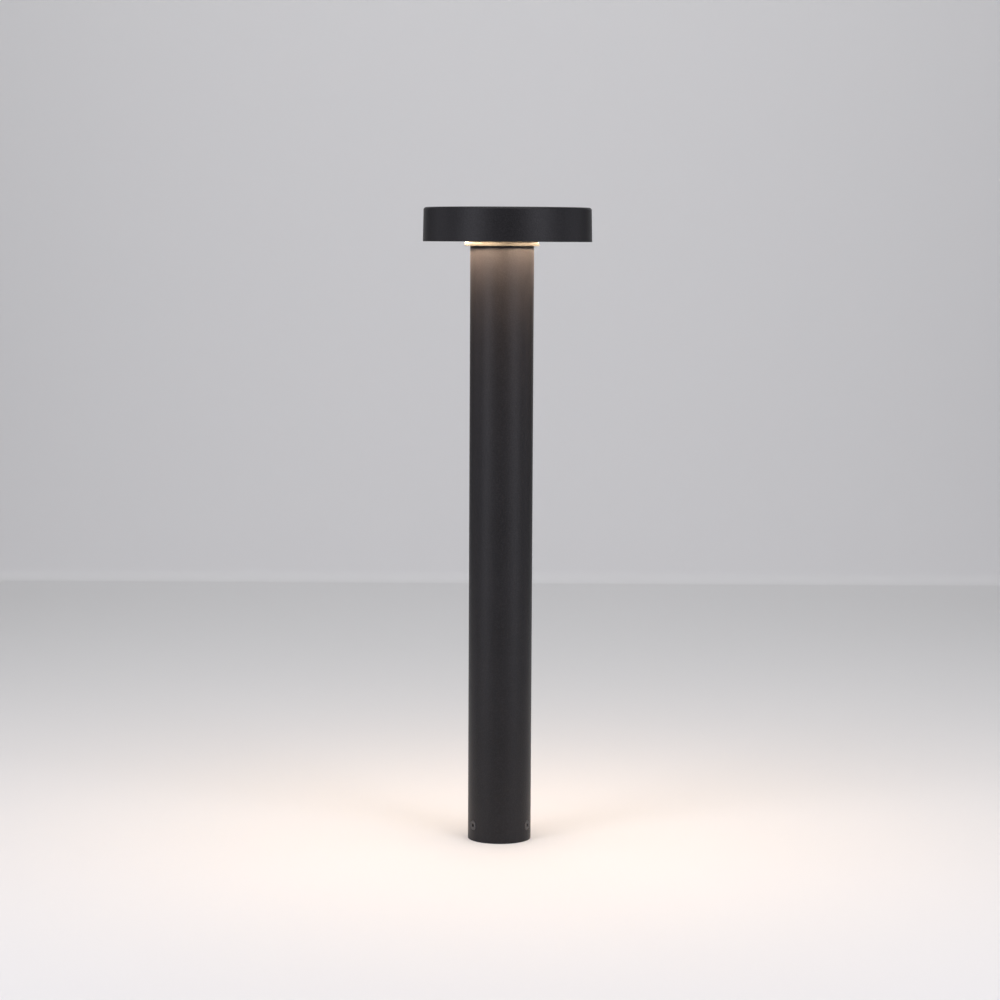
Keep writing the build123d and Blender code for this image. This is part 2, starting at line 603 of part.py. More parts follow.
def gland_nut():
    body = hexagon(GLAND_ACROSS_FLATS, GLAND_HEX_TOP + FIT_GAP, GLAND_SEAL_TOP)
    dome = rod(GLAND_ACROSS_FLATS / 2, GLAND_SEAL_TOP, GLAND_NUT_TOP)
    body += chamfer(dome.edges().sort_by(Axis.Z)[-1], GLAND_DOME * 0.7)
    body -= rod(GLAND_THREAD / 2 - GLAND_STEP + THREAD_GAP, GLAND_HEX_TOP, GLAND_SEAL_TOP)
    return body - rod(CABLE_DIAMETER / 2 + GLAND_STEP, GLAND_SEAL_TOP, GLAND_NUT_TOP)


# ---- Control gear inside the tube ----------------------------------------------------

def front_hole(radius, x, z, depth, y=TRAY_Y):
    """A round hole cut from the face at y towards +Y."""
    return facing_front(x, y, z) * Cylinder(radius, depth, align=(Align.CENTER, Align.CENTER, Align.MAX))


def driver_screw_heights():
    return (DRIVER_LOW - DRIVER_TAB / 2, DRIVER_TOP_Z + DRIVER_TAB / 2)


def terminal_screw_place():
    return TERMINAL_PITCH / 2, TERMINAL_LOW + TERMINAL_SIZE[2] / 2


def gear_tray():
    half = TRAY_WIDTH / 2
    back = TRAY_Y + TRAY_THICKNESS
    body = block((-half, half), (TRAY_Y, back), (TRAY_LOW, TRAY_HIGH))
    for low in (-half, half - TRAY_THICKNESS):
        body += block((low, low + TRAY_THICKNESS), (TRAY_Y, TRAY_Y + TRAY_FLANGE), (TRAY_LOW, TRAY_HIGH))
    for height in TRAY_SCREW_HEIGHTS:
        body -= front_hole(M4_PAN[0] / 2 + HOLE_GAP, 0, height, TRAY_THICKNESS)
    for height in driver_screw_heights():
        body -= front_hole(M3_PAN[0] / 2 + THREAD_GAP, 0, height, TRAY_THICKNESS)
    body -= front_hole(M3_PAN[0] / 2 + THREAD_GAP, *terminal_screw_place(), TRAY_THICKNESS)
    return body - front_hole(M4_PAN[0] / 2 + THREAD_GAP, EARTH_X, EARTH_HEIGHT, TRAY_THICKNESS)


def tray_screws():
    screw = pan_screw(M4_PAN, TRAY_SCREW_LENGTH)
    return Compound([facing_front(0, TRAY_Y, height) * screw for height in TRAY_SCREW_HEIGHTS])


def driver():
    width, depth, _ = DRIVER_SIZE
    body = block((-width / 2, width / 2), (TRAY_Y - depth, TRAY_Y), (DRIVER_LOW, DRIVER_TOP_Z))
    body = fillet(body.edges().filter_by(Axis.Z), DRIVER_EDGE)
    tab_y = (TRAY_Y - DRIVER_TAB_THICKNESS, TRAY_Y)
    tab_x = (-DRIVER_TAB_WIDTH / 2, DRIVER_TAB_WIDTH / 2)
    body += block(tab_x, tab_y, (DRIVER_LOW - DRIVER_TAB, DRIVER_TOP_Z + DRIVER_TAB))
    for height in driver_screw_heights():
        body -= front_hole(M3_PAN[0] / 2 + HOLE_GAP, 0, height, DRIVER_TAB_THICKNESS, tab_y[0])
    for start in (LIVE_ROUTE[-1], NEUTRAL_ROUTE[-1]):
        body -= rod(WIRE_DIAMETER / 2 + FIT_GAP, DRIVER_LOW, DRIVER_LOW + WIRE_INSERT, *start[:2])
    exit_x, exit_y, exit_z = LEAD_ROUTE[0]
    return body - rod(LEAD_DIAMETER / 2 + FIT_GAP, exit_z, DRIVER_TOP_Z, exit_x, exit_y)


def driver_screws():
    screw = pan_screw(M3_PAN, DRIVER_SCREW_LENGTH)
    face = TRAY_Y - DRIVER_TAB_THICKNESS
    return Compound([facing_front(0, face, height) * screw for height in driver_screw_heights()])


def terminal_poles():
    return [TERMINAL_PITCH * step for step in (-1, 0, 1)]


def terminal_block():
    width, depth, height = TERMINAL_SIZE
    front = TRAY_Y - depth
    body = block((-width / 2, width / 2), (front, TRAY_Y), (TERMINAL_LOW, TERMINAL_TOP_Z))
    middle = TERMINAL_LOW + height / 2
    for x in terminal_poles():
        body -= front_hole(TERMINAL_POCKET_RADIUS, x, middle, TERMINAL_POCKET, front)
        for low in (TERMINAL_LOW, TERMINAL_TOP_Z - WIRE_INSERT):
            body -= rod(WIRE_DIAMETER / 2 + FIT_GAP, low, low + WIRE_INSERT, x, TERMINAL_WIRE_Y)
    x, z = terminal_screw_place()
    return body - front_hole(M3_PAN[0] / 2 + HOLE_GAP, x, z, depth, front)


def terminal_screws():
    """Clamp screws, sunk in the pockets of the terminal block."""
    middle = TERMINAL_LOW + TERMINAL_SIZE[2] / 2
    pocket_floor = TRAY_Y - TERMINAL_SIZE[1] + TERMINAL_POCKET
    radius = TERMINAL_POCKET_RADIUS - FIT_GAP
    slot = Pos(0, 0, TERMINAL_SCREW_HEIGHT) * Box(3 * radius, radius / 3, radius)
    screw = Cylinder(radius, TERMINAL_SCREW_HEIGHT, align=UP) - slot
    return Compound([facing_front(x, pocket_floor, middle) * screw for x in terminal_poles()])


def terminal_mount_screw():
    x, z = terminal_screw_place()
    return facing_front(x, TRAY_Y - TERMINAL_SIZE[1], z) * pan_screw(M3_TERMINAL, TERMINAL_SIZE[1] + 4)


def led_lead():
    """The lead from the driver to the board, bent sharply only above the neck."""
    corners = [Vector(*point) for point in LEAD_ROUTE]
    path = FilletPolyline(*corners, radius=LEAD_RADII)
    print("led_lead length", round(path.length, 1), "radii", [round(radius, 1) for radius in LEAD_RADII])
    section = Plane(origin=path @ 0, z_dir=path % 0) * Circle(LEAD_DIAMETER / 2)
    return sweep(section, path)


def live_wire():
    return wire(LIVE_ROUTE, WIRE_DIAMETER, "live_wire")


def neutral_wire():
    return wire(NEUTRAL_ROUTE, WIRE_DIAMETER, "neutral_wire")


def earth_wire():
    return wire(EARTH_ROUTE, WIRE_DIAMETER, "earth_wire")


def earth_lug():
    """A ring terminal on the tray, with its barrel pointing down."""
    eye = Cylinder(EARTH_EYE_RADIUS, EARTH_LUG_THICKNESS, align=UP)
    palm_x = (EARTH_X - EARTH_EYE_RADIUS / 2, EARTH_X + EARTH_EYE_RADIUS / 2)
    palm_y = (TRAY_Y - EARTH_LUG_THICKNESS, TRAY_Y)
    body = facing_front(EARTH_X, TRAY_Y, EARTH_HEIGHT) * eye
    body += block(palm_x, palm_y, (EARTH_BARREL_Z, EARTH_HEIGHT))
    barrel_top = EARTH_BARREL_Z + EARTH_BARREL_LENGTH
    body += rod(EARTH_BARREL_RADIUS, EARTH_BARREL_Z, barrel_top, EARTH_X, EARTH_WIRE_Y)
    body -= rod(WIRE_DIAMETER / 2 + FIT_GAP, EARTH_BARREL_Z, barrel_top - 2, EARTH_X, EARTH_WIRE_Y)
    return body - front_hole(M4_PAN[0] / 2 + HOLE_GAP, EARTH_X, EARTH_HEIGHT, EARTH_LUG_THICKNESS, palm_y[0])


def earth_screw():
    place = facing_front(EARTH_X, TRAY_Y - EARTH_LUG_THICKNESS, EARTH_HEIGHT)
    return place * pan_screw(M4_EARTH, EARTH_SCREW_LENGTH)


SUB_PARTS = [
    head_cover, retaining_ring, retaining_screws, diffuser, diffuser_outer_gasket, diffuser_inner_gasket,
    reflector, thermal_pad, led_board, led_chips, board_connector, board_screws,
    collar, neck, neck_screws, lead_grommet, tube, tube_end_plate, column_screws, column_washers,
    base, foot_gasket, foot_screws, gland_body, gland_seal, gland_nut,
    gear_tray, tray_screws, driver, driver_screws, terminal_block, terminal_screws, terminal_mount_screw,
    led_lead, live_wire, neutral_wire, earth_wire, earth_lug, earth_screw,
]

os.makedirs("parts", exist_ok=True)
for sub_part in SUB_PARTS:
    export_step(sub_part(), f"parts/{sub_part.__name__}.step")
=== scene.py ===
import json
import math
from collections import namedtuple

import bmesh
import bpy
from mathutils import Matrix, Vector


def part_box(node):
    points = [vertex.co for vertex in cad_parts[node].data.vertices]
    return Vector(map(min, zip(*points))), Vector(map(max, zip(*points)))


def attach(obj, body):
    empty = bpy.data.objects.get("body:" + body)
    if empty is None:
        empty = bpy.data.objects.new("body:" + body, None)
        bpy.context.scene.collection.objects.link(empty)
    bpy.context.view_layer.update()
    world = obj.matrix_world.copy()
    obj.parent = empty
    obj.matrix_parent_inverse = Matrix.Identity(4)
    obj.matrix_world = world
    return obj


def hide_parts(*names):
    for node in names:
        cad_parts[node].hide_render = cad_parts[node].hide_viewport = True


bl_info = {
    "name": "Disc Head Bollard Light",
    "version": (1, 0, 0),
    "blender": (4, 5, 0),
    "location": "View3D > Sidebar > Bollard",
    "description": "Builds a bollard light's coated skins, lamp, finishes and studio round its frame",
    "category": "Object",
}

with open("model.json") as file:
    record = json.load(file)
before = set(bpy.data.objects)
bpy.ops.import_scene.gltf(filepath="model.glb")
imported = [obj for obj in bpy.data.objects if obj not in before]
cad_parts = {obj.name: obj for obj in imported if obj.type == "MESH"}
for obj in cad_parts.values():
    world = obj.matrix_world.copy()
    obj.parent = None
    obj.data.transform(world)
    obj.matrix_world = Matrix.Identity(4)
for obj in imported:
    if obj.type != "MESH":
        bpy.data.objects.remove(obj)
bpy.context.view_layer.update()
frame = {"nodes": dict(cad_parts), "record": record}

MM = 0.001
TINY = 0.01 * MM  # two places nearer than this count as one
WELD = TINY / 10  # corners nearer than this are merged
SHARP_ANGLE = math.radians(35)
UP = (0, 0, 1)


# ---- Sizes read from the frame -------------------------------------------------------

def middle_x(node):
    low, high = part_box(node)
    return (low.x + high.x) / 2


def reach(node, x=0.0):
    """The least and greatest distance of a sub-part's surface from an upright axis through (x, 0)."""
    corners = frame["nodes"][node].data.vertices
    distances = [math.hypot(corner.co.x - x, corner.co.y) for corner in corners]
    return min(distances), max(distances)


HEAD_X = middle_x("head_cover")
RIM_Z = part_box("head_cover")[0].z
HEAD_TOP_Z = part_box("head_cover")[1].z
HEAD_RADIUS = reach("head_cover", HEAD_X)[1]
RING_INNER, RING_OUTER = reach("retaining_ring", HEAD_X)
RING_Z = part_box("retaining_ring")[0].z
DIFFUSER_Z, GASKET_Z = (corner.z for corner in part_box("diffuser"))
DIFFUSER_HOLE = reach("diffuser")[0]
DIFFUSER_OUTER = reach("diffuser", HEAD_X)[1]
LAND_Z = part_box("diffuser_outer_gasket")[1].z
BOARD_INNER, BOARD_OUTER = reach("led_board", HEAD_X)
COLLAR_BORE, COLLAR_RADIUS = reach("collar")
COLLAR_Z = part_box("collar")[0].z
COLLAR_TOP_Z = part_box("collar")[1].z
TUBE_BORE, TUBE_RADIUS = reach("tube")
TUBE_TOP_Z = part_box("tube")[1].z
FOOT_SCREW_Z = (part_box("foot_screws")[0].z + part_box("foot_screws")[1].z) / 2
FOOT_SCREW_REACH = reach("foot_screws")[1]
CHIP_CIRCLE = (reach("led_chips", HEAD_X)[0] + reach("led_chips", HEAD_X)[1]) / 2


# ---- Settings that a user would change -----------------------------------------------

def length(name, description, default):
    return bpy.props.FloatProperty(name=name, description=description, default=default * MM,
                                   min=0.0, precision=5, unit="LENGTH")


def colour(name, description, default):
    return bpy.props.FloatVectorProperty(name=name, description=description, default=default,
                                         min=0.0, max=1.0, size=3, subtype="COLOR")


def amount(name, description, default):
    return bpy.props.FloatProperty(name=name, description=description, default=default,
                                   min=0.0, max=1.0, subtype="FACTOR")


def strength(name, description, default, unit="NONE"):
    return bpy.props.FloatProperty(name=name, description=description, default=default, min=0.0, unit=unit)


def lean(name, description, default):
    """An angle in radians, shown in degrees."""
    return bpy.props.FloatProperty(name=name, description=description, default=default, subtype="ANGLE")


def whole_number(name, description, default, least):
    return bpy.props.IntProperty(name=name, description=description, default=default, min=least)


class BollardShape(bpy.types.PropertyGroup):
    """Edges and fine shapes, which the frame's boxes don't tell."""

    steps: whole_number("Steps round", "Flat faces round the head, collar and tube", 192, 24)
    head_draft: lean("Head draft", "Lean of the head's side wall", math.radians(1.1))
    head_edge: length("Head edge", "Radius of the head's top edge", 2.5)
    rim_edge: length("Rim edge", "Radius of the head's lower edges", 0.4)
    head_wall: length("Head wall", "Thickness of the head's side wall", 2.5)
    head_roof: length("Head roof", "Thickness of the head's top", 3.0)
    pedestal: length("Pedestal", "How far the seat of the board stands below the roof", 3.0)
    pocket_width: length("Pocket width", "Hollow between the head's wall and the gasket land", 6.5)
    land_width: length("Land width", "Width of the gasket land", 6.0)
    ring_boss: length("Ring boss", "Radius of the bosses for the clamp ring's screws", 4.2)
    ring_edge: length("Ring edge", "Radius of the clamp ring's lower edges", 0.5)
    ring_screw_inset: length("Ring screw inset", "From the head's bore to the clamp ring's screws", 4.0)
    ring_screws: whole_number("Ring screws", "Screws in the clamp ring", 6, 3)
    collar_edge: length("Collar edge", "Radius of the collar's upper edge", 2.0)
    collar_step: length("Collar step", "How far the collar's sleeve stands inside its flange", 2.5)
    collar_lower_edge: length("Collar lower edge", "Radius of the collar's lower edge", 0.3)
    tube_edge: length("Tube edge", "Radius of the tube's end edges", 0.5)
    foot_screw_angle: lean("First foot screw", "Direction of the first foot screw from +X", math.radians(93))
    foot_screws: whole_number("Foot screws", "Screws that hold the tube to its base", 3, 2)


class BollardFinish(bpy.types.PropertyGroup):
    """Colours and surface detail of the visible finishes."""

    powder: colour("Powder coat", "Colour of the black powder coat", (0.0076, 0.0072, 0.0084))
    powder_light: colour("Powder coat, pale", "Colour of its palest flecks", (0.0172, 0.0162, 0.0185))
    coat_shine: amount("Coat shine", "How strongly the powder coat mirrors, 0.5 being plain varnish", 0.28)
    peel_size: length("Orange peel size", "Distance between the bumps of the orange peel", 1.9)
    peel_depth: length("Orange peel depth", "Height of the orange peel", 0.12)
    grain_size: length("Grain size", "Distance between the grains of the powder coat", 1.05)
    collar: colour("Collar", "Colour of the collar's satin coat", (0.0142, 0.0137, 0.0112))
    screw: colour("Foot screws", "Colour of the blackened screws", (0.090, 0.090, 0.095))
    diffuser: colour("Diffuser", "Colour of the opal plate", (0.90, 0.87, 0.80))
    glow: colour("Glow", "Colour of the lit diffuser", (1.0, 0.78, 0.52))
    glow_strength: strength("Glow strength", "Brightness of the lit diffuser", 1.0)


class BollardStudio(bpy.types.PropertyGroup):
    """The camera, the floor and the lights."""

    camera_place: bpy.props.FloatVectorProperty(
        name="Camera", description="Where the camera stands", default=(0.0039, -2.631, 0.5709),
        subtype="XYZ")
    camera_tilt: lean("Tilt", "How far the camera looks down", 0.0934)
    camera_turn: lean("Turn", "How far the camera looks to the left", 0.0018)
    camera_roll: lean("Roll", "How far the camera leans", 0.005)
    lens: bpy.props.FloatProperty(
        name="Lens", description="Focal length in millimetres", default=100.48, min=10.0,
        subtype="DISTANCE_CAMERA")
    floor: colour("Floor", "Colour of the floor and the wall", (0.785, 0.783, 0.785))
    wall_distance: length("Wall distance", "From the bollard to the wall behind it", 1990)
    cove: length("Cove", "Radius where the floor turns up into the wall", 20)
    sky: strength("Surround", "Brightness of the room round the set", 0.12)
    lamp_power: strength("Lamp power", "Power of the light below the diffuser", 2.45, "POWER")
    lamp_gap: lean("Dim front", "Width of the ring of light's dimmer part, at the front", math.radians(24))
    lamp_gap_level: amount("Dim front level", "Brightness of the dimmer part against the rest", 0.45)
    lamp_colour: colour("Lamp colour", "Colour of the light below the diffuser", (1.0, 0.715, 0.475))


# ---- Mesh helpers --------------------------------------------------------------------

def spun(profile, steps, x=0.0, closed=False):
    """A solid turned from corners given as (radius, height) about an upright axis through (x, 0)."""
    bm = bmesh.new()
    corners = [bm.verts.new((x + radius, 0, height)) for radius, height in profile]
    sides = [bm.edges.new(pair) for pair in zip(corners, corners[1:])]
    if closed:
        sides.append(bm.edges.new((corners[-1], corners[0])))
    bmesh.ops.spin(bm, geom=corners + sides, cent=(x, 0, 0), axis=UP, angle=math.tau, steps=steps,
                   use_merge=True)
    bmesh.ops.remove_doubles(bm, verts=bm.verts, dist=WELD)
    bmesh.ops.recalc_face_normals(bm, faces=bm.faces)
    return bm


def hoop(bm, radius, height, x=0.0):
    """The edges of one circle of a turned solid."""
    def lies_on(corner):
        distance = math.hypot(corner.co.x - x, corner.co.y)
        return abs(distance - radius) < TINY and abs(corner.co.z - height) < TINY
    return [edge for edge in bm.edges if all(lies_on(corner) for corner in edge.verts)]


def round_off(bm, edges, radius, segments):
    bmesh.ops.bevel(bm, geom=edges, offset=radius, offset_type="OFFSET", segments=segments, profile=0.5,
                    affect="EDGES", material=-1, clamp_overlap=False)


def as_mesh(bm, name):
    mesh = bpy.data.meshes.new(name)
    bm.to_mesh(mesh)
    bm.free()
    return mesh


def loose_object(bm, name):
    thing = bpy.data.objects.new(name, as_mesh(bm, name))
    bpy.context.scene.collection.objects.link(thing)
    return thing


def carved(body, tools, name):
    """The body with each tool joined to it or cut from it. A tool is an operation and its solid."""
    blank = loose_object(body, name)
    cutters = []
    for number, (operation, solid) in enumerate(tools):
        cutter = loose_object(solid, f"{name}_tool_{number}")
        step = blank.modifiers.new(cutter.name, "BOOLEAN")
        step.operation = operation
        step.solver = "EXACT"
        step.object = cutter
        cutters.append(cutter)
    bpy.context.view_layer.update()
    result = bpy.data.meshes.new_from_object(blank.evaluated_get(bpy.context.evaluated_depsgraph_get()))
    for thing in [blank, *cutters]:
        bpy.data.objects.remove(thing)
    if not result.polygons:
        raise RuntimeError(f"{name} was cut away altogether")
    bm = bmesh.new()
    bm.from_mesh(result)
    bmesh.ops.remove_doubles(bm, verts=bm.verts, dist=WELD)
    return bm


def copies(bm, places):
    """The same solid at several places, given as matrices."""
    template = as_mesh(bm, "template")
    result = bmesh.new()
    for place in places:
        before = len(result.verts)
        result.from_mesh(template)
        result.verts.ensure_lookup_table()
        bmesh.ops.transform(result, matrix=place, verts=result.verts[before:])
    bpy.data.meshes.remove(template)
    return result


def make_piece(name, bm, material, slot, *replaced):
    """Puts a finished solid into the scene as a piece that stands for some of the frame's sub-parts."""
    bmesh.ops.triangulate(bm, faces=[face for face in bm.faces if len(face.verts) > 4])
    piece = loose_object(bm, name)
    piece.data.shade_smooth()
    piece.data.set_sharp_from_angle(angle=SHARP_ANGLE)
    piece.data.materials.clear()
    piece.data.materials.append(material)
    weighted = piece.modifiers.new("Weighted normals", "WEIGHTED_NORMAL")
    weighted.keep_sharp = True
    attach(piece, "root")
    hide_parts(*replaced)


def on_circle(radius, angle, x=0.0):
    return x + radius * math.cos(angle), radius * math.sin(angle)


def outward(angle, radius, height):
    """A place on an upright cylinder whose +Z points away from the cylinder's axis."""
    return (Matrix.Rotation(angle, 4, "Z") @ Matrix.Translation((radius, 0, height))
            @ Matrix.Rotation(math.pi / 2, 4, "Y"))


def facing_down(x, y, z):
    return Matrix.Translation((x, y, z)) @ Matrix.Rotation(math.pi, 4, "X")


# ---- Screws --------------------------------------------------------------------------

# A countersunk screw: its thread and head across, its head's height, and its length with the head.
Screw = namedtuple("Screw", "thread head height overall")
RING_SCREW = Screw(3 * MM, 5.5 * MM, 1.65 * MM, 10 * MM)
FOOT_SCREW = Screw(5 * MM, 9.3 * MM, 2.5 * MM, 12 * MM)
SCREW_STEPS = 64
SEAT_PLAY = 0.1 * MM  # between a screw's cone and its seat
HOLE_PLAY = 0.2 * MM  # between a thread and its hole
SEAT_OVERCUT = 0.8 * MM  # how far a seat's cut goes on above the surface


def countersunk_screw(screw):
    """A screw with a cross recess: its head's top is at z = 0 and its shank points down."""
    thread, head, height, overall = screw
    disc = height - (head - thread) / 2
    tip = thread * 0.12
    rim = 0.12 * MM
    bm = spun([(0, 0), (head / 2, 0), (head / 2, -disc), (thread / 2, -height), (thread / 2, tip - overall),
               (thread / 2 - tip, -overall), (0, -overall)], SCREW_STEPS)
    round_off(bm, hoop(bm, head / 2, 0), rim, 3)
    size = head * 0.52
    depth = height * 0.75
    wing = recess_wing(size, depth)
    cross_wing = wing.copy()
    bmesh.ops.rotate(cross_wing, verts=cross_wing.verts, matrix=Matrix.Rotation(math.pi / 2, 3, "Z"))
    core = spun([(0, depth), (size / 3, depth), (size / 3, 0), (size / 6, -depth), (0, -depth)], 24)
    return carved(bm, [("DIFFERENCE", tool) for tool in (wing, cross_wing, core)], "screw")


def recess_wing(size, depth):
    """One slot of a cross recess, narrower at its floor and open at z = 0."""
    bm = bmesh.new()
    bmesh.ops.create_cube(bm, size=1)
    bmesh.ops.scale(bm, vec=(size, size / 4.5, 2 * depth), verts=bm.verts)
    floor = [corner for corner in bm.verts if corner.co.z < 0]
    bmesh.ops.scale(bm, vec=(0.62, 0.75, 1), verts=floor)
    return bm


def countersink(screw, through):
    """The tool that cuts the seat and the hole for a countersunk screw, open above z = 0."""
    narrow = screw.thread / 2 + SEAT_PLAY
    hole = screw.thread / 2 + HOLE_PLAY
    mouth = narrow + screw.height + SEAT_OVERCUT
    neck_z = narrow + screw.height - hole
    profile = [(0, SEAT_OVERCUT), (mouth, SEAT_OVERCUT), (hole, -neck_z), (hole, -through), (0, -through)]
    return spun(profile, SCREW_STEPS)


# ---- Head, lamp and collar -----------------------------------------------------------

FIRST_RING_SCREW = math.radians(30)
HUB_STEP = 0.2 * MM  # how far the hub stands inside the collar's outer face


def ring_screw_places(shape):
    radius = HEAD_RADIUS - shape.head_wall - shape.ring_screw_inset
    count = shape.ring_screws
    turns = [FIRST_RING_SCREW + math.tau * index / count for index in range(count)]
    return [on_circle(radius, turn, HEAD_X) for turn in turns]


def screw_boss(x, y, radius, foot, top):
    """A round boss in the head for one of the clamp ring's screws."""
    bm = bmesh.new()
    bmesh.ops.create_cone(bm, cap_ends=True, segments=32, radius1=radius, radius2=radius, depth=top - foot)
    bmesh.ops.translate(bm, vec=(x, y, (top + foot) / 2), verts=bm.verts)
    return bm


def head_shell(shape):
    """The head casting: its skin, the gasket land, the seat of the board, the hub and the screw bosses."""
    roof = HEAD_TOP_Z - shape.head_roof
    seat = roof - shape.pedestal
    top_radius = HEAD_RADIUS - (HEAD_TOP_Z - RIM_Z) * math.tan(shape.head_draft)
    bore = HEAD_RADIUS - shape.head_wall
    land_outer = bore - shape.pocket_width
    land_inner = land_outer - shape.land_width
    skin = [(0, HEAD_TOP_Z), (top_radius, HEAD_TOP_Z), (HEAD_RADIUS, RIM_Z), (bore, RIM_Z), (bore, seat)]
    land = [(land_outer, seat), (land_outer, LAND_Z), (land_inner, LAND_Z), (land_inner, roof)]
    pedestal = [(BOARD_OUTER, roof), (BOARD_OUTER, seat), (BOARD_INNER, seat), (BOARD_INNER, roof)]
    bm = spun([*skin, *land, *pedestal, (0, roof)], shape.steps, HEAD_X)
    round_off(bm, hoop(bm, top_radius, HEAD_TOP_Z, HEAD_X), shape.head_edge, 10)
    round_off(bm, hoop(bm, HEAD_RADIUS, RIM_Z, HEAD_X), shape.rim_edge, 4)
    round_off(bm, hoop(bm, bore, RIM_Z, HEAD_X), shape.rim_edge, 4)
    inside_roof = roof + shape.head_roof / 2
    hub_outer = COLLAR_RADIUS - HUB_STEP
    hub = [(COLLAR_BORE, LAND_Z), (hub_outer, LAND_Z), (hub_outer, inside_roof), (COLLAR_BORE, inside_roof)]
    tools = [("UNION", spun(hub, shape.steps, closed=True))]
    for x, y in ring_screw_places(shape):
        tools.append(("UNION", screw_boss(x, y, shape.ring_boss, DIFFUSER_Z, inside_roof)))
    return carved(bm, tools, "head")


def clamp_ring(shape):
    """The ring that holds the diffuser up, with a countersunk hole for each of its screws."""
    lower = [(RING_INNER, RING_Z), (RING_OUTER, RING_Z)]
    upper = [(RING_OUTER, DIFFUSER_Z), (RING_INNER, DIFFUSER_Z)]
    bm = spun(lower + upper, shape.steps, HEAD_X, closed=True)
    for radius in (RING_INNER, RING_OUTER):
        round_off(bm, hoop(bm, radius, RING_Z, HEAD_X), shape.ring_edge, 4)
    tools = []
    for x, y in ring_screw_places(shape):
        tool = countersink(RING_SCREW, through=4 * MM)
        bmesh.ops.transform(tool, matrix=facing_down(x, y, RING_Z), verts=tool.verts)
        tools.append(("DIFFERENCE", tool))
    return carved(bm, tools, "clamp_ring")


def diffuser_plate(shape):
    """The opal plate: round about the head's axis, with a hole about the tube's."""
    bm = bmesh.new()
    for radius, x in ((DIFFUSER_OUTER, HEAD_X), (DIFFUSER_HOLE, 0.0)):
        place = Matrix.Translation((x, 0, GASKET_Z))
        bmesh.ops.create_circle(bm, segments=shape.steps, radius=radius, matrix=place)
    bmesh.ops.bridge_loops(bm, edges=bm.edges[:])
    bmesh.ops.recalc_face_normals(bm, faces=bm.faces)
    if bm.faces[:][0].normal.z < 0:
        bmesh.ops.reverse_faces(bm, faces=bm.faces)
    bmesh.ops.solidify(bm, geom=bm.faces[:], thickness=GASKET_Z - DIFFUSER_Z)
    bmesh.ops.recalc_face_normals(bm, faces=bm.faces)
    return bm


def collar_ring(shape):
    """The collar between the tube and the head: a flange that shows and a sleeve that enters the head."""
    sleeve = COLLAR_RADIUS - shape.collar_step
    bm = spun([(COLLAR_BORE, COLLAR_Z), (COLLAR_RADIUS, COLLAR_Z), (COLLAR_RADIUS, RIM_Z), (sleeve, RIM_Z),
               (sleeve, COLLAR_TOP_Z), (COLLAR_BORE, COLLAR_TOP_Z)], shape.steps, closed=True)
    round_off(bm, hoop(bm, COLLAR_RADIUS, RIM_Z), shape.collar_edge, 8)
    round_off(bm, hoop(bm, COLLAR_RADIUS, COLLAR_Z), shape.collar_lower_edge, 4)
    return bm


# ---- Tube and foot -------------------------------------------------------------------

SEAT_BAND = 9 * MM  # above and below the foot screws, where the tube's long faces are divided


def foot_screw_angles(shape):
    count = shape.foot_screws
    return [shape.foot_screw_angle + math.tau * index / count for index in range(count)]


def tube_shell(shape):
    """The tube, with deburred ends and a countersunk hole for each foot screw."""
    bm = spun([(TUBE_BORE, 0), (TUBE_RADIUS, 0), (TUBE_RADIUS, TUBE_TOP_Z), (TUBE_BORE, TUBE_TOP_Z)],
              shape.steps, closed=True)
    for radius in (TUBE_BORE, TUBE_RADIUS):
        for height in (0, TUBE_TOP_Z):
            round_off(bm, hoop(bm, radius, height), shape.tube_edge, 4)
    for height in (FOOT_SCREW_Z - SEAT_BAND, FOOT_SCREW_Z + SEAT_BAND):
        everything = bm.verts[:] + bm.edges[:] + bm.faces[:]
        bmesh.ops.bisect_plane(bm, geom=everything, dist=TINY, plane_co=(0, 0, height), plane_no=UP)
    tools = []
    for angle in foot_screw_angles(shape):
        tool = countersink(FOOT_SCREW, through=6 * MM)
        bmesh.ops.transform(tool, matrix=outward(angle, FOOT_SCREW_REACH, FOOT_SCREW_Z), verts=tool.verts)
        tools.append(("DIFFERENCE", tool))
    return carved(bm, tools, "tube")


# ---- Shader nodes --------------------------------------------------------------------

def add_node(tree, kind, settings=None, inputs=None):
    """A node with its settings, and its inputs set to values or joined to other nodes' outputs."""
    node = tree.nodes.new(kind)
    for name, value in (settings or {}).items():
        setattr(node, name, value)
    for name, value in (inputs or {}).items():
        if isinstance(value, bpy.types.NodeSocket):
            tree.links.new(value, node.inputs[name])
        else:
            node.inputs[name].default_value = value
    return node


def maths(tree, operation, first, second=0.0, third=0.0):
    inputs = {0: first, 1: second, 2: third}
    return add_node(tree, "ShaderNodeMath", {"operation": operation}, inputs).outputs[0]


def noise(tree, where, scale, detail=2.0, roughness=0.5, distortion=0.0):
    inputs = {"Vector": where, "Scale": scale, "Detail": detail, "Roughness": roughness,
              "Distortion": distortion}
    return add_node(tree, "ShaderNodeTexNoise", None, inputs).outputs["Fac"]


def stretch(tree, value, low, high, to_low=0.0, to_high=1.0, smooth=False):
    """Spreads the part of a value between two limits over another range."""
    settings = {"interpolation_type": "SMOOTHSTEP" if smooth else "LINEAR"}
    inputs = {"Value": value, "From Min": low, "From Max": high, "To Min": to_low, "To Max": to_high}
    return add_node(tree, "ShaderNodeMapRange", settings, inputs).outputs["Result"]


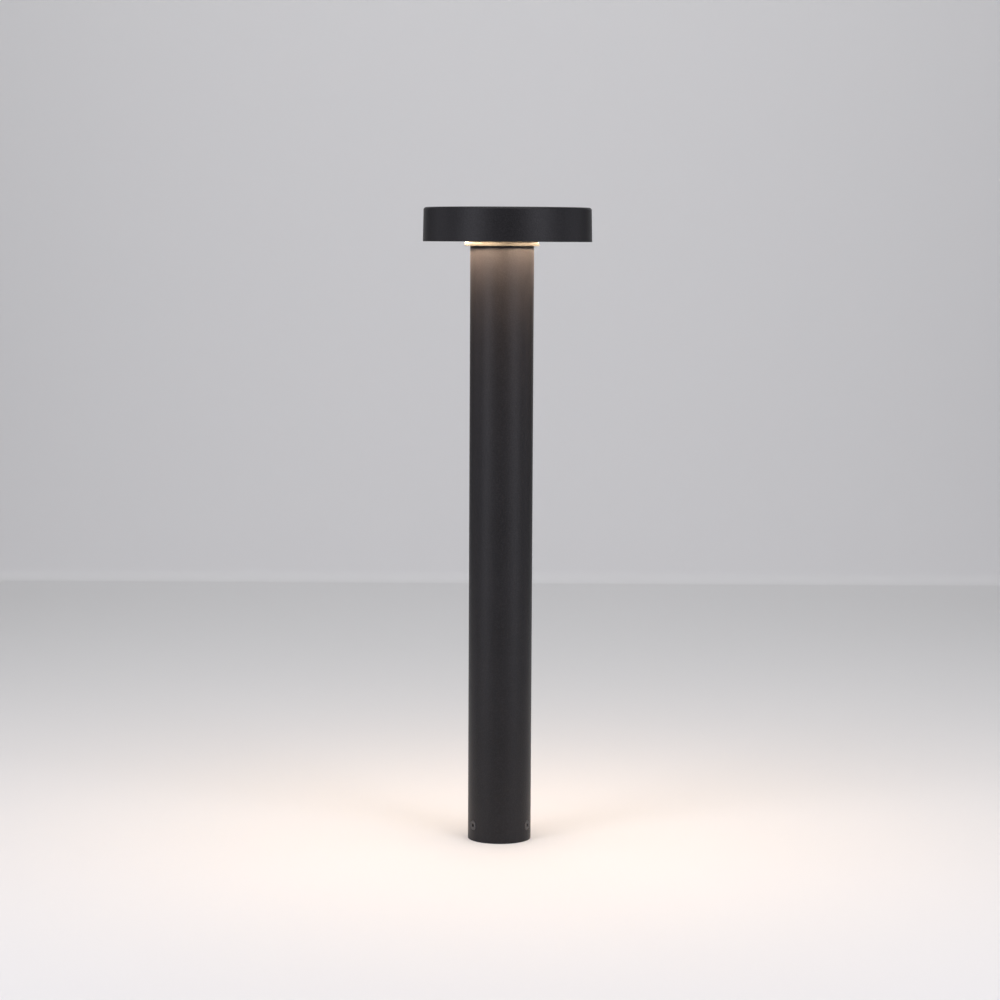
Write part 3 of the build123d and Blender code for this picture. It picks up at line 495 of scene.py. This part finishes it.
def mixed(tree, factor, first, second):
    """A colour between two others."""
    node = tree.nodes.new("ShaderNodeMix")
    node.data_type = "RGBA"
    sockets = {"Factor_Float": factor, "A_Color": first, "B_Color": second}
    for socket in node.inputs:
        if socket.identifier not in sockets:
            continue
        value = sockets[socket.identifier]
        if isinstance(value, bpy.types.NodeSocket):
            tree.links.new(value, socket)
        else:
            socket.default_value = value
    return next(socket for socket in node.outputs if socket.identifier == "Result_Color")


def object_place(tree, scale=(1, 1, 1), shift=(0, 0, 0)):
    """Object coordinates, shifted and stretched by a Mapping node."""
    coordinates = tree.nodes.new("ShaderNodeTexCoord").outputs["Object"]
    inputs = {"Vector": coordinates, "Location": shift, "Scale": scale}
    return add_node(tree, "ShaderNodeMapping", {"vector_type": "POINT"}, inputs).outputs["Vector"]


def new_group(name, inputs, outputs):
    """A node group with named sockets, and those sockets as its own nodes see them."""
    group = bpy.data.node_groups.new(name, "ShaderNodeTree")
    for label, default in inputs:
        kind = "NodeSocketColor" if isinstance(default, tuple) else "NodeSocketFloat"
        group.interface.new_socket(label, in_out="INPUT", socket_type=kind).default_value = default
    for label, kind in outputs:
        group.interface.new_socket(label, in_out="OUTPUT", socket_type=kind)
    return group, group.nodes.new("NodeGroupInput").outputs, group.nodes.new("NodeGroupOutput").inputs


def powder_group():
    """Powder coat: orange peel, fine grain, and slow changes in the coat's thickness."""
    group, given, results = new_group(
        "Powder coat surface",
        [("Pale", (0.03, 0.03, 0.03, 1)), ("Dark", (0.02, 0.02, 0.02, 1)), ("Peel scale", 600.0),
         ("Grain scale", 2400.0), ("Smoothest", 0.36), ("Roughest", 0.48)],
        [("Color", "NodeSocketColor"), ("Roughness", "NodeSocketFloat"), ("Height", "NodeSocketFloat")])
    where = object_place(group)
    peel = noise(group, where, given["Peel scale"], 2.0, 0.5, 0.3)
    grain = noise(group, where, given["Grain scale"], 1.0, 0.5)
    patches = noise(group, where, 14.0, 3.0, 0.55)
    flecks = stretch(group, grain, 0.40, 0.66)
    clouds = stretch(group, patches, 0.3, 0.7)
    tone = maths(group, "MULTIPLY_ADD", clouds, 0.35, maths(group, "MULTIPLY", flecks, 0.65))
    group.links.new(mixed(group, tone, given["Dark"], given["Pale"]), results["Color"])
    spread = maths(group, "SUBTRACT", given["Roughest"], given["Smoothest"])
    unevenness = maths(group, "MULTIPLY_ADD", grain, 0.6, maths(group, "MULTIPLY", patches, 0.4))
    roughness = maths(group, "MULTIPLY_ADD", unevenness, spread, given["Smoothest"])
    group.links.new(roughness, results["Roughness"])
    group.links.new(maths(group, "MULTIPLY_ADD", grain, 0.60, peel), results["Height"])
    return group


def turned_group():
    """Turned or brushed metal: fine lines whose direction the Mapping node's stretch gives."""
    group, given, results = new_group(
        "Fine tool lines",
        [("Pale", (0.6, 0.6, 0.6, 1)), ("Dark", (0.5, 0.5, 0.5, 1)), ("Across", 4000.0), ("Along", 120.0)],
        [("Color", "NodeSocketColor"), ("Lines", "NodeSocketFloat")])
    coordinates = group.nodes.new("ShaderNodeTexCoord").outputs["Object"]
    scales = {"X": given["Along"], "Y": given["Along"], "Z": given["Across"]}
    scale = add_node(group, "ShaderNodeCombineXYZ", None, scales).outputs[0]
    where = add_node(group, "ShaderNodeMapping", None, {"Vector": coordinates, "Scale": scale})
    lines = noise(group, where.outputs[0], 1.0, 2.0, 0.6)
    smudges = noise(group, coordinates, 90.0, 2.0, 0.5)
    tone = maths(group, "MULTIPLY_ADD", lines, 0.6, maths(group, "MULTIPLY", smudges, 0.4))
    tone = stretch(group, tone, 0.35, 0.65)
    group.links.new(mixed(group, tone, given["Dark"], given["Pale"]), results["Color"])
    group.links.new(lines, results["Lines"])
    return group


def moulded_group():
    """Moulded or cast surface: an even fine texture with faint flow marks."""
    group, given, results = new_group(
        "Moulded surface",
        [("Pale", (0.8, 0.8, 0.8, 1)), ("Dark", (0.7, 0.7, 0.7, 1)), ("Texture scale", 1500.0),
         ("Flow scale", 40.0)],
        [("Color", "NodeSocketColor"), ("Texture", "NodeSocketFloat"), ("Flow", "NodeSocketFloat")])
    where = object_place(group)
    texture = noise(group, where, given["Texture scale"], 3.0, 0.55)
    flow = noise(group, object_place(group, (1, 1, 0.35)), given["Flow scale"], 3.0, 0.5, 1.2)
    tone = maths(group, "MULTIPLY_ADD", flow, 0.7, maths(group, "MULTIPLY", texture, 0.3))
    tone = stretch(group, tone, 0.32, 0.68)
    group.links.new(mixed(group, tone, given["Dark"], given["Pale"]), results["Color"])
    group.links.new(texture, results["Texture"])
    group.links.new(flow, results["Flow"])
    return group


GROUP_MAKERS = {"powder": powder_group, "turned": turned_group, "moulded": moulded_group}
made_groups = {}


def use_group(tree, kind, inputs):
    """Places one of the shared surface groups in a material, and makes the group the first time."""
    if kind not in made_groups:
        made_groups[kind] = GROUP_MAKERS[kind]()
    return add_node(tree, "ShaderNodeGroup", {"node_tree": made_groups[kind]}, inputs).outputs


def with_alpha(rgb):
    return (*rgb, 1.0)


def shaded(rgb, factor):
    """The colour made darker or paler, with alpha."""
    return tuple(min(1.0, channel * factor) for channel in rgb) + (1.0,)


def new_material(name):
    """An empty material and its Principled shader."""
    material = bpy.data.materials.new(name)
    material.use_nodes = True
    return material, material.node_tree, material.node_tree.nodes["Principled BSDF"]


def bump(tree, shader, height, depth):
    node = add_node(tree, "ShaderNodeBump", None, {"Height": height, "Distance": depth, "Strength": 1.0})
    tree.links.new(node.outputs["Normal"], shader.inputs["Normal"])


COAT_ROUGHNESS = 0.42
COAT_UNEVENNESS = 0.06


def powder_coat(name, dark, pale, finish, roughness=COAT_ROUGHNESS, depth=1.0):
    """Baked powder coat over metal. The depth multiplies that of the finish's orange peel."""
    material, tree, shader = new_material(name)
    outputs = use_group(tree, "powder", {
        "Dark": with_alpha(dark), "Pale": with_alpha(pale), "Peel scale": 1 / finish.peel_size,
        "Grain scale": 1 / finish.grain_size, "Smoothest": roughness - COAT_UNEVENNESS,
        "Roughest": roughness + COAT_UNEVENNESS})
    tree.links.new(outputs["Color"], shader.inputs["Base Color"])
    tree.links.new(outputs["Roughness"], shader.inputs["Roughness"])
    shader.inputs["Specular IOR Level"].default_value = finish.coat_shine
    bump(tree, shader, outputs["Height"], finish.peel_depth * depth)
    return material


def machined(name, rgb, roughness, across=4000.0, along=120.0):
    """Bare or plated metal with fine tool lines."""
    material, tree, shader = new_material(name)
    outputs = use_group(tree, "turned", {
        "Pale": shaded(rgb, 1.12), "Dark": shaded(rgb, 0.82), "Across": across, "Along": along})
    shader.inputs["Metallic"].default_value = 1.0
    tree.links.new(outputs["Color"], shader.inputs["Base Color"])
    smear = stretch(tree, outputs["Lines"], 0.3, 0.7, roughness - 0.07, roughness + 0.07)
    tree.links.new(smear, shader.inputs["Roughness"])
    bump(tree, shader, outputs["Lines"], 0.006 * MM)
    return material


def moulded(name, rgb, roughness, texture_scale=1500.0, depth=0.01, metallic=0.0, contrast=0.10):
    """Moulded plastic or rubber, or a bare casting when metallic. The depth is in millimetres."""
    material, tree, shader = new_material(name)
    outputs = use_group(tree, "moulded", {
        "Pale": shaded(rgb, 1 + contrast), "Dark": shaded(rgb, 1 - contrast),
        "Texture scale": texture_scale})
    shader.inputs["Metallic"].default_value = metallic
    tree.links.new(outputs["Color"], shader.inputs["Base Color"])
    sheen = stretch(tree, outputs["Flow"], 0.3, 0.7, roughness - 0.05, roughness + 0.05)
    tree.links.new(sheen, shader.inputs["Roughness"])
    bump(tree, shader, outputs["Texture"], depth * MM)
    return material


def opal_glow(finish):
    """The lit opal plate: brightest below the ring of chips, with a faint spot below each chip."""
    band = 26 * MM
    dimmest = 0.48
    band_gain = 0.42
    spot_gain = 0.10
    material, tree, shader = new_material("opal diffuser")
    outputs = use_group(tree, "moulded", {
        "Pale": shaded(finish.diffuser, 1.03), "Dark": shaded(finish.diffuser, 0.97),
        "Texture scale": 2200.0})
    tree.links.new(outputs["Color"], shader.inputs["Base Color"])
    shader.inputs["Roughness"].default_value = 0.34
    bump(tree, shader, outputs["Texture"], 0.004 * MM)
    where = object_place(tree, shift=(-HEAD_X, 0, 0))
    parts = add_node(tree, "ShaderNodeSeparateXYZ", None, {0: where}).outputs
    x_squared = maths(tree, "MULTIPLY", parts["X"], parts["X"])
    radius = maths(tree, "SQRT", maths(tree, "MULTIPLY_ADD", parts["Y"], parts["Y"], x_squared))
    from_chips = maths(tree, "ABSOLUTE", maths(tree, "SUBTRACT", radius, CHIP_CIRCLE))
    near = stretch(tree, from_chips, band, 0.0, smooth=True)
    turn = maths(tree, "ARCTAN2", parts["Y"], parts["X"])
    wave = maths(tree, "COSINE", maths(tree, "MULTIPLY", turn, chip_count()))
    spots = maths(tree, "MULTIPLY", stretch(tree, wave, -1.0, 1.0, 0.0, spot_gain), near)
    level = maths(tree, "MULTIPLY_ADD", near, band_gain, maths(tree, "ADD", spots, dimmest))
    lit = mixed(tree, level, shaded(finish.glow, 0.12), with_alpha(finish.glow))
    tree.links.new(lit, shader.inputs["Emission Color"])
    shader.inputs["Emission Strength"].default_value = finish.glow_strength
    return material


def chip_count():
    """How many chips the lamp has: each is a block with four corners on its lower face."""
    low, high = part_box("led_chips")
    middle = (low.z + high.z) / 2
    places = [corner.co for corner in frame["nodes"]["led_chips"].data.vertices]
    lower_corners = {(round(place.x, 5), round(place.y, 5)) for place in places if place.z < middle}
    return round(len(lower_corners) / 4)


# ---- Finishes of the sub-parts that stay as the frame has them ------------------------

def gear_materials():
    """A material for each of the frame's finishes that isn't on a new piece."""
    return {
        "stainless_screws": machined("stainless steel", (0.56, 0.56, 0.57), 0.30),
        "bare_casting": moulded("bare casting", (0.60, 0.60, 0.61), 0.45, 1100.0, 0.03, metallic=1.0),
        "black_rubber": moulded("black rubber", (0.022, 0.022, 0.023), 0.62, 1800.0, 0.02),
        "grey_rubber": moulded("grey silicone", (0.30, 0.30, 0.31), 0.58, 1800.0, 0.012),
        "white_reflector": moulded(
            "white reflector", (0.86, 0.86, 0.84), 0.26, 2600.0, 0.004, contrast=0.03),
        "white_board": moulded("white solder mask", (0.84, 0.84, 0.82), 0.38, 3000.0, 0.006, contrast=0.03),
        "led_phosphor": moulded("yellow phosphor", (0.90, 0.70, 0.22), 0.42, 4000.0, 0.010),
        "white_nylon": moulded("natural nylon", (0.78, 0.78, 0.74), 0.40, 1400.0, 0.008, contrast=0.05),
        "plated_brass": machined("nickel plated brass", (0.62, 0.57, 0.46), 0.28, across=2600.0),
        "zinc_tray": machined("zinc plated sheet", (0.56, 0.57, 0.58), 0.40, across=300.0, along=900.0),
        "driver_case": moulded("driver case", (0.80, 0.80, 0.79), 0.44, 900.0, 0.015, contrast=0.04),
        "white_cable": moulded("white sheath", (0.78, 0.78, 0.77), 0.46, 1600.0, 0.010, contrast=0.05),
        "brown_wire": moulded("brown insulation", (0.16, 0.06, 0.025), 0.42, 2000.0, 0.008),
        "blue_wire": moulded("blue insulation", (0.02, 0.08, 0.36), 0.42, 2000.0, 0.008),
        "green_wire": earth_stripes(),
    }


def earth_stripes():
    """Green insulation with yellow bands."""
    pitch = 2.2 * MM
    material, tree, shader = new_material("green and yellow insulation")
    parts = add_node(tree, "ShaderNodeSeparateXYZ", None, {0: object_place(tree)}).outputs
    stripe = maths(tree, "SINE", maths(tree, "MULTIPLY", parts["X"], math.tau / pitch))
    yellow = stretch(tree, stripe, -0.08, 0.08)
    stripes = mixed(tree, yellow, (0.05, 0.26, 0.04, 1), (0.72, 0.55, 0.03, 1))
    tree.links.new(stripes, shader.inputs["Base Color"])
    outputs = use_group(tree, "moulded", {"Texture scale": 2000.0})
    shader.inputs["Roughness"].default_value = 0.42
    bump(tree, shader, outputs["Texture"], 0.008 * MM)
    return material


def finish_gear():
    """Gives every shown sub-part of the frame the material of its finish."""
    materials = gear_materials()
    for part in frame["record"]["subparts"]:
        thing = frame["nodes"][part["node"]]
        if thing.hide_render:
            continue
        if part["material_slot"] not in materials:
            raise RuntimeError(f"no finish is made for {part['node']}")
        for holder in thing.material_slots:
            holder.material = materials[part["material_slot"]]


# ---- Stage ---------------------------------------------------------------------------

def add_camera(studio):
    camera = bpy.data.objects.new("Camera", bpy.data.cameras.new("Camera"))
    bpy.context.scene.collection.objects.link(camera)
    camera.data.sensor_width = 36.0
    camera.data.lens = studio.lens
    camera.data.clip_start = 0.05
    turn = (Matrix.Rotation(studio.camera_turn, 4, "Z")
            @ Matrix.Rotation(math.pi / 2 - studio.camera_tilt, 4, "X")
            @ Matrix.Rotation(studio.camera_roll, 4, "Z"))
    camera.matrix_world = Matrix.Translation(studio.camera_place) @ turn
    bpy.context.scene.camera = camera


def sweep_sheet(studio):
    """The floor, the cove and the wall behind as one sheet."""
    half_width = 1.15
    front = -3.4
    wall_top = 3.0
    cove_steps = 12
    bend_y = studio.wall_distance - studio.cove
    bm = bmesh.new()
    start = bm.verts.new((-half_width, front, 0))
    bend = bm.verts.new((-half_width, bend_y, 0))
    bm.edges.new((start, bend))
    bmesh.ops.spin(bm, geom=[bend], cent=(-half_width, bend_y, studio.cove), axis=(1, 0, 0),
                   angle=math.pi / 2, steps=cove_steps)
    cove_end = max(bm.verts, key=lambda corner: corner.co.z)
    top = bm.verts.new((-half_width, studio.wall_distance, wall_top))
    bm.edges.new((cove_end, top))
    swept = bmesh.ops.extrude_edge_only(bm, edges=bm.edges[:])["geom"]
    moved = [item for item in swept if isinstance(item, bmesh.types.BMVert)]
    bmesh.ops.translate(bm, vec=(2 * half_width, 0, 0), verts=moved)
    bmesh.ops.recalc_face_normals(bm, faces=bm.faces)
    return bm


def studio_paper(studio):
    material, tree, shader = new_material("studio paper")
    fibres = noise(tree, object_place(tree), 900.0, 3.0)
    tone = mixed(tree, fibres, shaded(studio.floor, 0.995), shaded(studio.floor, 1.005))
    tree.links.new(tone, shader.inputs["Base Color"])
    shader.inputs["Roughness"].default_value = 0.85
    shader.inputs["Specular IOR Level"].default_value = 0.15
    return material


def add_sweep(studio):
    sweep = loose_object(sweep_sheet(studio), "studio_sweep")
    sweep.data.shade_smooth()
    sweep.data.materials.append(studio_paper(studio))


def add_area(name, place, target, size, power, rgb, outline="RECTANGLE"):
    """A soft light, aimed at a point and not seen itself."""
    light = bpy.data.lights.new(name, "AREA")
    light.shape = outline
    light.size, light.size_y = size
    light.energy = power
    light.color = rgb
    holder = bpy.data.objects.new(name, light)
    bpy.context.scene.collection.objects.link(holder)
    aim = (Vector(target) - Vector(place)).to_track_quat("-Z", "Y")
    holder.matrix_world = Matrix.Translation(place) @ aim.to_matrix().to_4x4()
    holder.visible_camera = False


def add_lamp_lights(studio):
    """The light that the diffuser gives, as a soft disc below each chip, dimmer at the front."""
    disc = 18 * MM
    radius = CHIP_CIRCLE + 2 * MM
    height = DIFFUSER_Z - 0.2 * MM
    front = 1.5 * math.pi
    count = chip_count()
    for index in range(count):
        turn = (index + 0.5) * math.tau / count
        power = studio.lamp_power / count
        if abs(turn - front) < studio.lamp_gap / 2:
            power *= studio.lamp_gap_level
        x, y = on_circle(radius, turn, HEAD_X)
        add_area(f"lamp_light_{index:02d}", (x, y, height), (x, y, 0), (disc, disc), power,
                 studio.lamp_colour, "DISK")


def around(angle, distance, height):
    """A place round the bollard, by its angle from the front towards the right."""
    turn = math.radians(angle)
    return distance * math.sin(turn), -distance * math.cos(turn), height


# The soft boxes round the bollard: name, angle from the front, height, size, and power in watts.
SIDE_BOXES = [
    ("left_box", -45, 1.05, (0.85, 1.1), 8.6),
    ("right_box", 41, 1.05, (0.85, 1.1), 8.6),
    ("left_low_box", -56, 0.26, (0.85, 0.45), 3.0),
    ("right_low_box", 56, 0.26, (0.85, 0.45), 3.0),
    ("left_fill", -98, 0.85, (1.0, 1.5), 3.0),
    ("right_fill", 98, 0.85, (1.0, 1.5), 3.0),
]


def add_lights(studio):
    cool = (0.91, 0.90, 1.0)
    neutral = (0.985, 0.99, 0.985)
    distance = 1.7
    aim = (0, 0, 0.45)
    for name, angle, height, size, power in SIDE_BOXES:
        add_area(name, around(angle, distance, height), aim, size, power, cool)
    add_area("top_box", (0, -0.7, 2.5), (0, 0.1, 0), (2.6, 2.4), 36.0, neutral)
    add_area("rear_box", (0, 1.0, 2.4), (0, 1.1, 0), (2.2, 1.2), 8.6, neutral)
    world = bpy.data.worlds.new("studio room")
    world.use_nodes = True
    background = world.node_tree.nodes["Background"]
    background.inputs["Color"].default_value = (0.98, 0.98, 1.0, 1)
    background.inputs["Strength"].default_value = studio.sky
    bpy.context.scene.world = world


# ---- Operators -----------------------------------------------------------------------

class BOLLARD_OT_stage(bpy.types.Operator):
    """Sets up the camera, the sweep and the lights"""

    bl_idname = "bollard.stage"
    bl_label = "Set Up Studio"

    def execute(self, context):
        studio = context.scene.bollard_studio
        context.scene.view_settings.view_transform = "Standard"
        add_camera(studio)
        add_sweep(studio)
        add_lights(studio)
        add_lamp_lights(studio)
        return {"FINISHED"}


class BOLLARD_OT_head(bpy.types.Operator):
    """Builds the round head casting"""

    bl_idname = "bollard.head"
    bl_label = "Build Head"

    def execute(self, context):
        finish = context.scene.bollard_finish
        coat = powder_coat("head powder coat", finish.powder, finish.powder_light, finish)
        shell = head_shell(context.scene.bollard_shape)
        make_piece("head_shell", shell, coat, "black_powder_coat", "head_cover")
        return {"FINISHED"}


class BOLLARD_OT_lamp(bpy.types.Operator):
    """Builds the diffuser, the ring that clamps it and the ring's screws"""

    bl_idname = "bollard.lamp"
    bl_label = "Build Lamp"

    def execute(self, context):
        shape = context.scene.bollard_shape
        finish = context.scene.bollard_finish
        make_piece("diffuser_plate", diffuser_plate(shape), opal_glow(finish), "opal_diffuser", "diffuser")
        coat = powder_coat("ring coat", (0.018, 0.018, 0.019), (0.028, 0.028, 0.029), finish,
                           roughness=0.50, depth=0.6)
        make_piece("clamp_ring", clamp_ring(shape), coat, "black_ring", "retaining_ring")
        screw = countersunk_screw(RING_SCREW)
        places = [facing_down(x, y, RING_Z) for x, y in ring_screw_places(shape)]
        steel = machined("ring screw steel", (0.56, 0.56, 0.57), 0.28, across=120.0, along=2600.0)
        make_piece("clamp_ring_screws", copies(screw, places), steel, "stainless_screws", "retaining_screws")
        return {"FINISHED"}


class BOLLARD_OT_collar(bpy.types.Operator):
    """Builds the collar between the head and the tube"""

    bl_idname = "bollard.collar"
    bl_label = "Build Collar"

    def execute(self, context):
        finish = context.scene.bollard_finish
        pale = shaded(finish.collar, 1.2)[:3]
        coat = powder_coat("collar coat", finish.collar, pale, finish, roughness=0.58, depth=0.4)
        ring = collar_ring(context.scene.bollard_shape)
        make_piece("collar_ring", ring, coat, "black_collar", "collar")
        return {"FINISHED"}


class BOLLARD_OT_tube(bpy.types.Operator):
    """Builds the tube with its screw seats"""

    bl_idname = "bollard.tube"
    bl_label = "Build Tube"

    def execute(self, context):
        finish = context.scene.bollard_finish
        coat = powder_coat("tube powder coat", finish.powder, finish.powder_light, finish)
        shell = tube_shell(context.scene.bollard_shape)
        make_piece("tube_shell", shell, coat, "black_powder_coat", "tube")
        return {"FINISHED"}


class BOLLARD_OT_foot_screws(bpy.types.Operator):
    """Builds the countersunk screws at the foot of the tube"""

    bl_idname = "bollard.foot_screws"
    bl_label = "Build Foot Screws"

    def execute(self, context):
        shape = context.scene.bollard_shape
        finish = context.scene.bollard_finish
        screw = countersunk_screw(FOOT_SCREW)
        bmesh.ops.rotate(screw, verts=screw.verts, matrix=Matrix.Rotation(math.pi / 4, 3, "Z"))
        places = [outward(angle, FOOT_SCREW_REACH, FOOT_SCREW_Z) for angle in foot_screw_angles(shape)]
        black = machined("blackened screw", finish.screw, 0.34, across=900.0, along=900.0)
        make_piece("column_foot_screws", copies(screw, places), black, "blackened_screws", "foot_screws")
        return {"FINISHED"}


class BOLLARD_OT_gear(bpy.types.Operator):
    """Gives the base, the neck and the control gear their finishes"""

    bl_idname = "bollard.gear"
    bl_label = "Finish Inner Parts"

    def execute(self, context):
        finish_gear()
        return {"FINISHED"}


class BOLLARD_PT_panel(bpy.types.Panel):
    """Lists the bollard's steps and settings"""

    bl_idname = "BOLLARD_PT_panel"
    bl_label = "Bollard Light"
    bl_space_type = "VIEW_3D"
    bl_region_type = "UI"
    bl_category = "Bollard"

    def draw(self, context):
        layout = self.layout
        for operator in OPERATORS:
            layout.operator(operator.bl_idname)
        for group in SETTINGS:
            settings = getattr(context.scene, group)
            box = layout.box()
            for name in settings.bl_rna.properties.keys():
                if name not in ("rna_type", "name"):
                    box.prop(settings, name)


SETTINGS = {"bollard_shape": BollardShape, "bollard_finish": BollardFinish, "bollard_studio": BollardStudio}
OPERATORS = [BOLLARD_OT_stage, BOLLARD_OT_head, BOLLARD_OT_lamp, BOLLARD_OT_collar, BOLLARD_OT_tube,
             BOLLARD_OT_foot_screws, BOLLARD_OT_gear]


def register():
    for made in [*SETTINGS.values(), *OPERATORS, BOLLARD_PT_panel]:
        bpy.utils.register_class(made)
    for name, kind in SETTINGS.items():
        setattr(bpy.types.Scene, name, bpy.props.PointerProperty(type=kind))


def unregister():
    for name in SETTINGS:
        delattr(bpy.types.Scene, name)
    for made in [BOLLARD_PT_panel, *reversed(OPERATORS), *reversed(SETTINGS.values())]:
        bpy.utils.unregister_class(made)


def main():
    register()
    bpy.ops.bollard.stage()
    bpy.ops.bollard.head()
    bpy.ops.bollard.lamp()
    bpy.ops.bollard.collar()
    bpy.ops.bollard.tube()
    bpy.ops.bollard.foot_screws()
    bpy.ops.bollard.gear()


if __name__ == "__main__":
    main()
